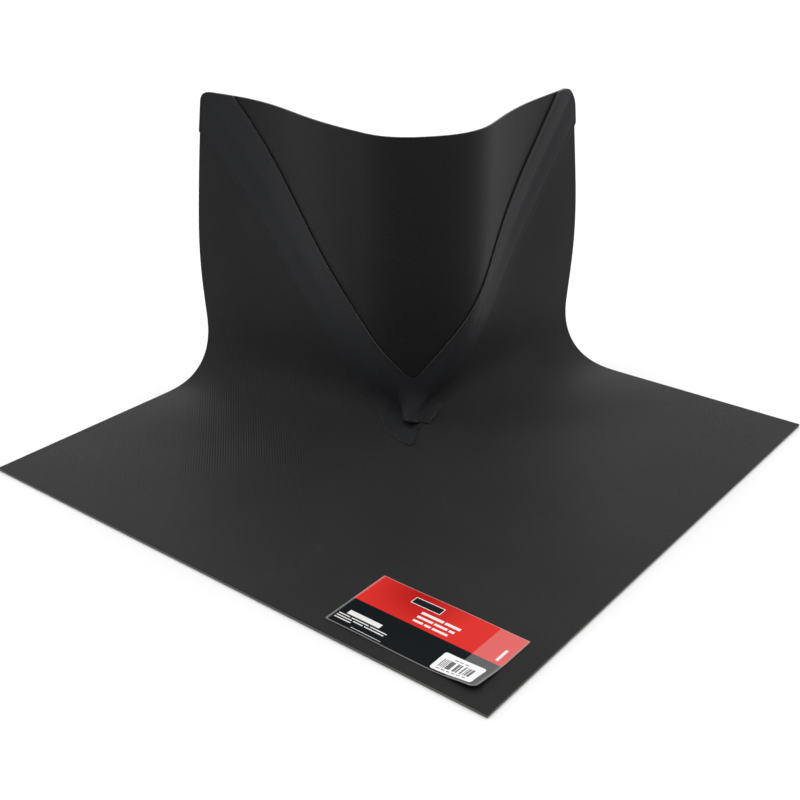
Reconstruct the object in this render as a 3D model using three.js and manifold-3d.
// Outside corner for a flat roof, made of rubber roofing membrane.
//
// A square of membrane is slit from its middle to its back corner. The slit is opened to a right
// angle and filled with a triangular insert, and a seam strip is bonded over each of the two joints.
// That gives a base that lies on the roof and an upstand that wraps around the corner of a kerb.
// A printed label card and its bar-code sticker lie on the base, near the front corner.
//
// The sheet is described in its flat pattern, by polar coordinates about the tip where all seams
// meet: radius r in millimetres and bearing in degrees. Bearing 0 points to the front corner, 90 to
// the right-hand corner, 135 along the heel fold, 180 along the right seam and 225 straight up the
// middle of the insert. The left half has the same bearings with a minus sign, so a full turn about
// the tip is 450 degrees.
//
// Millimetres, +Z up, +Y towards the kerb, origin at the middle of the bounding box's bottom face.

import * as THREE from "three";
import { mergeVertices } from "three/addons/utils/BufferGeometryUtils.js";
import Module from "manifold-3d";

const wasm = await Module();
wasm.setup();

// Driving dimensions
const SIDE = 300; // edge of the membrane square, and the top edge of the insert
const UPSTAND = SIDE / 2; // height of the upstand
const FREE_EDGE = 302.5; // the upright edge from base corner to top corner, a little stretched
const MEMBRANE_THICK = 1.2;
const STRIP_WIDTH = 30;
const STRIP_THICK = 1.0;
const GAP = 0.3; // between pieces that touch
const CARD = { width: 75, height: 39, thick: 0.4, corner: 3 };
const STICKER = { width: 19.6, height: 11.6, thick: 0.3, corner: 1.5 };

// Places, measured from the front corner along the front left edge and square to it
const CARD_PLACE = { along: 11, in: 7.5 };
const STICKER_PLACE = { along: 13.9, in: 8.6 };

// Shape of the sheet as it stands
const TIP = new THREE.Vector3(0, 2, 16); // where the seams meet, lifted off the roof
const TOP_MIDDLE = new THREE.Vector3(0, 6, 162.5); // middle of the upstand's top edge
const TIP_REACH = 100; // the base is lifted up to this distance from the tip
const LIFT_FADE = { from: 95, to: 135 }; // bearings where the lift gives way to the heel fold
const ROLL_FADE = { from: 150, to: 200 }; // bearings where the corner's round takes over
// Headings of the two shaped edges, as [distance along the edge, heading]. An upright edge starts
// flat on the roof and turns up, and a top edge starts across the corner and turns back.
const SHAPE = {
  left: {
    upright: [[112, 0], [177, 95], [247, 84], [FREE_EDGE, 81]],
    top: [[0, 0], [28, 49], [80, 61], [UPSTAND, 34]],
  },
  right: {
    upright: [[112, 0], [180, 95], [262, 84], [FREE_EDGE, 84]],
    top: [[0, 0], [54, 61], [122, 48], [UPSTAND, 52]],
  },
};

// Strip ends at the tip
const TONGUE_REACH = 19; // how far the left strip's rounded end runs in front of the tip
const TONGUE_END = 15; // bearing, past the front corner's, where that end stops
const RIGHT_STRIP_END = 4; // distance from the tip where the right strip stops
const TIP_BLEND = { from: 8, to: 40 }; // radii where a common thickness direction gives way
const TIP_DIRECTION = new THREE.Vector3(0, -1, 1).normalize();

// Mesh steps
const WALK_STEPS = 300;
const PROBE = 0.02; // step of the finite differences, in millimetres
const RADIAL_STEPS = [0, 0.02, 0.05, 0.09, 0.14, 0.2, 0.27, 0.35, 0.44, 0.54, 0.65, 0.77, 0.88, 1];
const STRIP_ROW = 12; // distance between a strip's rows near its ends
const STRIP_COLUMNS = 4; // columns across a strip
const CUT_MARGIN = 4; // how far a strip's cutter stands past its two faces

const HALF_DIAGONAL = SIDE / Math.SQRT2;
const SQUARE = 90;
const SEAM = 180;
const MIDDLE = 225;
const FULL_TURN = 2 * MIDDLE;

const radians = THREE.MathUtils.degToRad;
const lerp = THREE.MathUtils.lerp;
const smooth = (value, range) => THREE.MathUtils.smoothstep(value, range.from, range.to);

function range(from, to, steps) {
  return Array.from({ length: steps + 1 }, (_, i) => lerp(from, to, i / steps));
}

// Heading at a distance along an edge, eased between the given headings.
function headingAt(headings, distance) {
  let [lastDistance, lastHeading] = headings[0];
  for (const [nextDistance, nextHeading] of headings) {
    if (distance <= nextDistance && nextDistance > lastDistance) {
      const eased = smooth(distance, { from: lastDistance, to: nextDistance });
      return lerp(lastHeading, nextHeading, eased);
    }
    [lastDistance, lastHeading] = [nextDistance, nextHeading];
  }
  return distance < headings[0][0] ? headings[0][1] : lastHeading;
}

// Walks along an edge by its headings. The edge keeps its true length.
function walk(headings, length) {
  const step = length / WALK_STEPS;
  const points = [new THREE.Vector2(0, 0)];
  for (let i = 0; i < WALK_STEPS; i++) {
    const heading = radians(headingAt(headings, (i + 0.5) * step));
    const stride = new THREE.Vector2(Math.cos(heading), Math.sin(heading)).multiplyScalar(step);
    points.push(points[i].clone().add(stride));
  }
  return (distance) => {
    const place = THREE.MathUtils.clamp(distance / step, 0, WALK_STEPS);
    const i = Math.min(Math.floor(place), WALK_STEPS - 1);
    return points[i].clone().lerp(points[i + 1], place - i);
  };
}

// The two shaped edges of one side, as functions of the distance along them.
function shapedEdges({ upright, top }) {
  const uprightWalk = walk(upright, FREE_EDGE);
  const topWalk = walk(top, UPSTAND);
  // The upright edge stands over the back edge of the square.
  const uprightEdge = (distance) => {
    const { x: run, y: rise } = uprightWalk(distance * FREE_EDGE / SIDE);
    return new THREE.Vector3(HALF_DIAGONAL - run / Math.SQRT2, run / Math.SQRT2, rise);
  };
  const topAt = (distance) => {
    const { x: across, y: back } = topWalk(distance);
    return new THREE.Vector3(across, back, 0).add(TOP_MIDDLE);
  };
  // The closing error at the top corner is spread evenly along the top edge.
  const miss = uprightEdge(SIDE).sub(topAt(UPSTAND));
  const topEdge = (distance) => topAt(distance).addScaledVector(miss, distance / UPSTAND);
  return { uprightEdge, topEdge };
}

const EDGES = { left: shapedEdges(SHAPE.left), right: shapedEdges(SHAPE.right) };

// Folds any bearing into -225 to 225, and says which side it is on.
function sideOf(bearing) {
  const folded = THREE.MathUtils.euclideanModulo(bearing + MIDDLE, FULL_TURN) - MIDDLE;
  const onLeft = folded < 0;
  return {
    size: Math.abs(folded),
    sign: onLeft ? -1 : 1,
    edges: onLeft ? EDGES.left : EDGES.right,
  };
}

// The sheet's outer edge at a bearing: its flat distance from the tip, and where it stands.
function outerEdge(bearing) {
  const { size, sign, edges } = sideOf(bearing);
  const quadrant = Math.min(Math.floor(size / SQUARE), 2);
  const angle = radians(size - quadrant * SQUARE);
  const reach = HALF_DIAGONAL / (Math.sin(angle) + Math.cos(angle));
  const along = Math.SQRT2 * reach * Math.sin(angle);
  const onFront = new THREE.Vector3(along / Math.SQRT2, -HALF_DIAGONAL + along / Math.SQRT2, 0);
  const place = [
    () => onFront,
    () => edges.uprightEdge(along),
    () => edges.topEdge(Math.max(UPSTAND - along, 0)),
  ][quadrant]();
  return { reach, place: new THREE.Vector3(sign * place.x, place.y, place.z) };
}

// The underside of the sheet at a flat point.
function underside(r, bearing) {
  const { size, sign, edges } = sideOf(bearing);
  const { reach, place } = outerEdge(bearing);
  const share = r / reach;
  const point = TIP.clone().lerp(place, share);
  // On the base the straight ray from the tip gives way to a short, soft lift.
  const onBase = 1 - smooth(size, LIFT_FADE);
  const lift = TIP.z * Math.max(0, 1 - r / TIP_REACH) ** 2;
  point.z += onBase * (lift - TIP.z * (1 - share));
  // On the upstand the corner is as round near the tip as it is at the top edge.
  const rolled = smooth(size, ROLL_FADE);
  if (rolled > 0) {
    const sideways = Math.sin(radians(MIDDLE - size));
    const near = edges.topEdge(Math.min(r * sideways, UPSTAND)).sub(TOP_MIDDLE);
    const far = edges.topEdge(Math.min(reach * sideways, UPSTAND)).sub(TOP_MIDDLE);
    const shift = near.addScaledVector(far, -share);
    point.x += rolled * sign * shift.x;
    point.y += rolled * shift.y;
  }
  return point;
}

// Direction of the sheet's thickness, towards its weather side.
function outward(r, bearing) {
  const at = Math.max(r, TIP_BLEND.from);
  const turn = PROBE / at;
  const inner = underside(at - PROBE, bearing);
  const outer = underside(at, bearing);
  const before = underside(at, bearing - THREE.MathUtils.radToDeg(turn));
  const after = underside(at, bearing + THREE.MathUtils.radToDeg(turn));
  const normal = outer.sub(inner).cross(after.sub(before)).normalize();
  return TIP_DIRECTION.clone().lerp(normal, smooth(r, TIP_BLEND)).normalize();
}

// A flat point beside a seam: the distance along the seam from the tip, and the distance from the
// seam, positive towards the insert.
function besideSeam(along, across) {
  return {
    r: Math.hypot(along, across),
    bearing: SEAM + THREE.MathUtils.radToDeg(Math.atan2(across, along)),
  };
}

// A closed solid over a grid of flat points, between two heights above the underside. Points that
// fall together are merged, and the side walls stand on the edges that only one triangle uses.
function sheetSolid(rows, low, high) {
  const flat = rows.flat();
  const columns = rows[0].length;
  const faces = [];
  for (let i = 0; i + 1 < rows.length; i++) {
    for (let j = 0; j + 1 < columns; j++) {
      const corner = i * columns + j;
      faces.push([corner, corner + 1, corner + columns + 1]);
      faces.push([corner, corner + columns + 1, corner + columns]);
    }
  }
  const places = flat.map(({ r, bearing }) => {
    const base = underside(r, bearing);
    const direction = outward(r, bearing);
    return {
      lower: base.clone().addScaledVector(direction, low),
      upper: base.clone().addScaledVector(direction, high),
    };
  });
  const merged = mergePlaces(places.map(({ upper }) => upper));
  const top = faces
    .map((face) => face.map((i) => merged[i]))
    .filter(([a, b, c]) => a !== b && b !== c && c !== a);
  const used = new Set(top.flatMap(([a, b, c]) => [`${a},${b}`, `${b},${c}`, `${c},${a}`]));
  const count = places.length;
  const triangles = [];
  for (const [a, b, c] of top) {
    triangles.push([a, b, c], [a + count, c + count, b + count]);
    for (const [from, to] of [[a, b], [b, c], [c, a]]) {
      if (!used.has(`${to},${from}`)) {
        // Walls that face each other across a seam get the same diagonals.
        const [upper, lower] = to < from ? [to, from + count] : [from, to + count];
        triangles.push([to, from, lower], [upper, from + count, to + count]);
      }
    }
  }
  const vertices = [...places.map(({ upper }) => upper), ...places.map(({ lower }) => lower)];
  const geometry = new THREE.BufferGeometry();
  geometry.setAttribute("position",
    new THREE.Float32BufferAttribute(vertices.flatMap((v) => v.toArray()), 3));
  geometry.setIndex(triangles.flat());
  return mergeVertices(geometry);
}

// For each point, the index of the first point in the same place.
function mergePlaces(points) {
  const first = new Map();
  return points.map((point, i) => {
    const key = point.toArray().map((value) => value.toFixed(3)).join(",");
    if (!first.has(key)) {
      first.set(key, i);
    }
    return first.get(key);
  });
}

// One row of the membrane or the insert: a ray from the tip to the outer edge. A ray along a seam
// is moved off it, so that the two pieces keep a gap.
function ray(bearing, offSeam) {
  const { reach } = outerEdge(bearing);
  return RADIAL_STEPS.map((share) => {
    const r = share * reach;
    const turn = r > Math.abs(offSeam) ? THREE.MathUtils.radToDeg(Math.asin(offSeam / r)) : 0;
    return { r: Math.min(r, outerEdge(bearing + turn).reach), bearing: bearing + turn };
  });
}

// Bearings of the rays, closer together in the heel fold. The membrane's run from the middle of the
// base to the right seam, and the insert's from seam to seam.
const HALF_MEMBRANE = [
  ...range(0, 90, 9),
  ...range(95, 120, 5),
  ...range(122.5, 150, 11),
  ...range(155, SEAM, 5),
];
const ACROSS_INSERT = range(SEAM, FULL_TURN - SEAM, 24);
const PAST_FRONT = [-20, -10]; // under the tongue of the left strip

function membraneSheet() {
  const leftHalf = HALF_MEMBRANE.slice(1).reverse().map((bearing) => -bearing);
  const bearings = [...leftHalf, ...HALF_MEMBRANE];
  const rows = bearings.map((bearing) => {
    const offSeam = Math.abs(bearing) === SEAM ? -Math.sign(bearing) * GAP / 2 : 0;
    return ray(bearing, offSeam);
  });
  return sheetSolid(rows, 0, MEMBRANE_THICK);
}

function cornerInsert() {
  const tipGap = GAP; // the insert's own tip stays this far up from where the seams meet
  const rows = ACROSS_INSERT.map((bearing) => {
    const offSeam = bearing === SEAM ? GAP / 2 : bearing === FULL_TURN - SEAM ? -GAP / 2 : 0;
    return ray(bearing, offSeam).map((point, j) => (
      j === 0 ? { r: tipGap, bearing: MIDDLE } : point));
  });
  return sheetSolid(rows, 0, MEMBRANE_THICK);
}

// The band of a seam strip that covers its seam, from the top corner down to a given distance from
// the tip. It is trimmed flush with the sheet's edges, and towards the insert it stops at the
// middle line, where it meets the other strip.
function stripBand(lowEnd) {
  const half = STRIP_WIDTH / 2;
  const topCorner = HALF_DIAGONAL - GAP;
  const meeting = half + GAP;
  const alongs = [
    ...range(topCorner, topCorner - half, 3),
    ...range(topCorner - half - STRIP_ROW, meeting + STRIP_ROW, 12),
    ...range(meeting, lowEnd, 4),
  ];
  return alongs.map((along) => {
    const trim = Math.min(half, topCorner - along);
    const towardsInsert = Math.min(trim, along - GAP / Math.SQRT2);
    return range(towardsInsert, -trim, STRIP_COLUMNS).map((across) => besideSeam(along, across));
  });
}

function toManifold(geometry) {
  const bare = geometry.clone();
  bare.deleteAttribute("normal");
  bare.deleteAttribute("uv");
  const merged = mergeVertices(bare);
  return new wasm.Manifold(new wasm.Mesh({
    numProp: 3,
    vertProperties: merged.getAttribute("position").array,
    triVerts: merged.getIndex().array,
  }));
}

function fromManifold(solid) {
  const { vertProperties, triVerts } = solid.getMesh();
  const geometry = new THREE.BufferGeometry();
  geometry.setAttribute("position", new THREE.BufferAttribute(vertProperties, 3));
  geometry.setIndex(new THREE.BufferAttribute(triVerts, 1));
  return geometry;
}

// Rows laid out on the right half of the sheet, or mirrored onto the left half.
function onSide(rows, side) {
  const mirrored = ({ r, bearing }) => ({ r, bearing: -bearing });
  return side === "right" ? rows : rows.map((row) => row.map(mirrored)).reverse();
}

// A seam strip has the facets of the sheet that it lies on: it is a layer over the sheet around
// its seam, cut to the strip's outline.
function seamStrip(outline, side) {
  const low = MEMBRANE_THICK + GAP;
  const high = low + STRIP_THICK;
  const bearings = [...PAST_FRONT, ...HALF_MEMBRANE, ...ACROSS_INSERT.slice(1)];
  const layerRows = bearings.map((bearing) => ray(bearing, 0));
  const cutterRows = outline.reverse();
  const layer = sheetSolid(onSide(layerRows, side), low, high);
  const cutter = sheetSolid(onSide(cutterRows, side), low - CUT_MARGIN, high + CUT_MARGIN);
  return fromManifold(toManifold(layer).intersect(toManifold(cutter)));
}

// The left strip runs on past the tip and ends in a rounded tongue on the base.
function leftSeamStrip() {
  const half = STRIP_WIDTH / 2;
  const tongue = range(SQUARE, -TONGUE_END, 7).slice(1).map((bearing) => {
    const share = smooth(SQUARE - bearing, { from: 0, to: SQUARE });
    return range(GAP, lerp(half, TONGUE_REACH, share), STRIP_COLUMNS)
      .map((r) => ({ r, bearing }));
  });
  return seamStrip([...stripBand(GAP), ...tongue], "left");
}

function rightSeamStrip() {
  return seamStrip(stripBand(RIGHT_STRIP_END), "right");
}

// A flat rectangle with round corners, its first corner at the origin.
function roundedSlab({ width, height, thick, corner }) {
  const outline = new THREE.Shape();
  outline.moveTo(corner, 0);
  outline.lineTo(width - corner, 0);
  outline.absarc(width - corner, corner, corner, -Math.PI / 2, 0);
  outline.lineTo(width, height - corner);
  outline.absarc(width - corner, height - corner, corner, 0, Math.PI / 2);
  outline.lineTo(corner, height);
  outline.absarc(corner, height - corner, corner, Math.PI / 2, Math.PI);
  outline.lineTo(0, corner);
  outline.absarc(corner, corner, corner, Math.PI, 1.5 * Math.PI);
  return new THREE.ExtrudeGeometry(outline, { depth: thick, bevelEnabled: false, curveSegments: 4 });
}

// Lays a slab on the base. Its long side runs along the front left edge, read from the front.
function layOnBase(mesh, size, { along, in: inwards }, height) {
  const farCorner = along + size.width;
  mesh.position.set(
    (inwards - farCorner) / Math.SQRT2,
    -HALF_DIAGONAL + (farCorner + inwards) / Math.SQRT2,
    height,
  );
  mesh.rotation.z = -Math.PI / 4;
  return mesh;
}

function named(name, geometry, color, roughness) {
  const material = new THREE.MeshStandardMaterial({ color, roughness, metalness: 0 });
  const mesh = new THREE.Mesh(geometry, material);
  mesh.name = name;
  return mesh;
}

const membrane = named("membrane_sheet", membraneSheet(), 0x2c2b2a, 0.75);
const insert = named("corner_insert", cornerInsert(), 0x262626, 0.75);
const leftStrip = named("seam_strip_left", leftSeamStrip(), 0x303133, 0.6);
const rightStrip = named("seam_strip_right", rightSeamStrip(), 0x303133, 0.6);

const cardHeight = MEMBRANE_THICK + GAP;
const stickerHeight = cardHeight + CARD.thick + GAP;
const card = layOnBase(named("label_card", roundedSlab(CARD), 0xb02020, 0.25),
  CARD, CARD_PLACE, cardHeight);
const sticker = layOnBase(named("barcode_sticker", roundedSlab(STICKER), 0xf4f4f4, 0.4),
  STICKER, STICKER_PLACE, stickerHeight);

const roofCorner = new THREE.Group();
roofCorner.add(membrane, insert, leftStrip, rightStrip, card, sticker);

// The origin is the middle of the bounding box's bottom face.
const bounds = new THREE.Box3().setFromObject(roofCorner, true);
const middle = bounds.getCenter(new THREE.Vector3());
roofCorner.position.set(-middle.x, -middle.y, -bounds.min.z);

export default roofCorner;
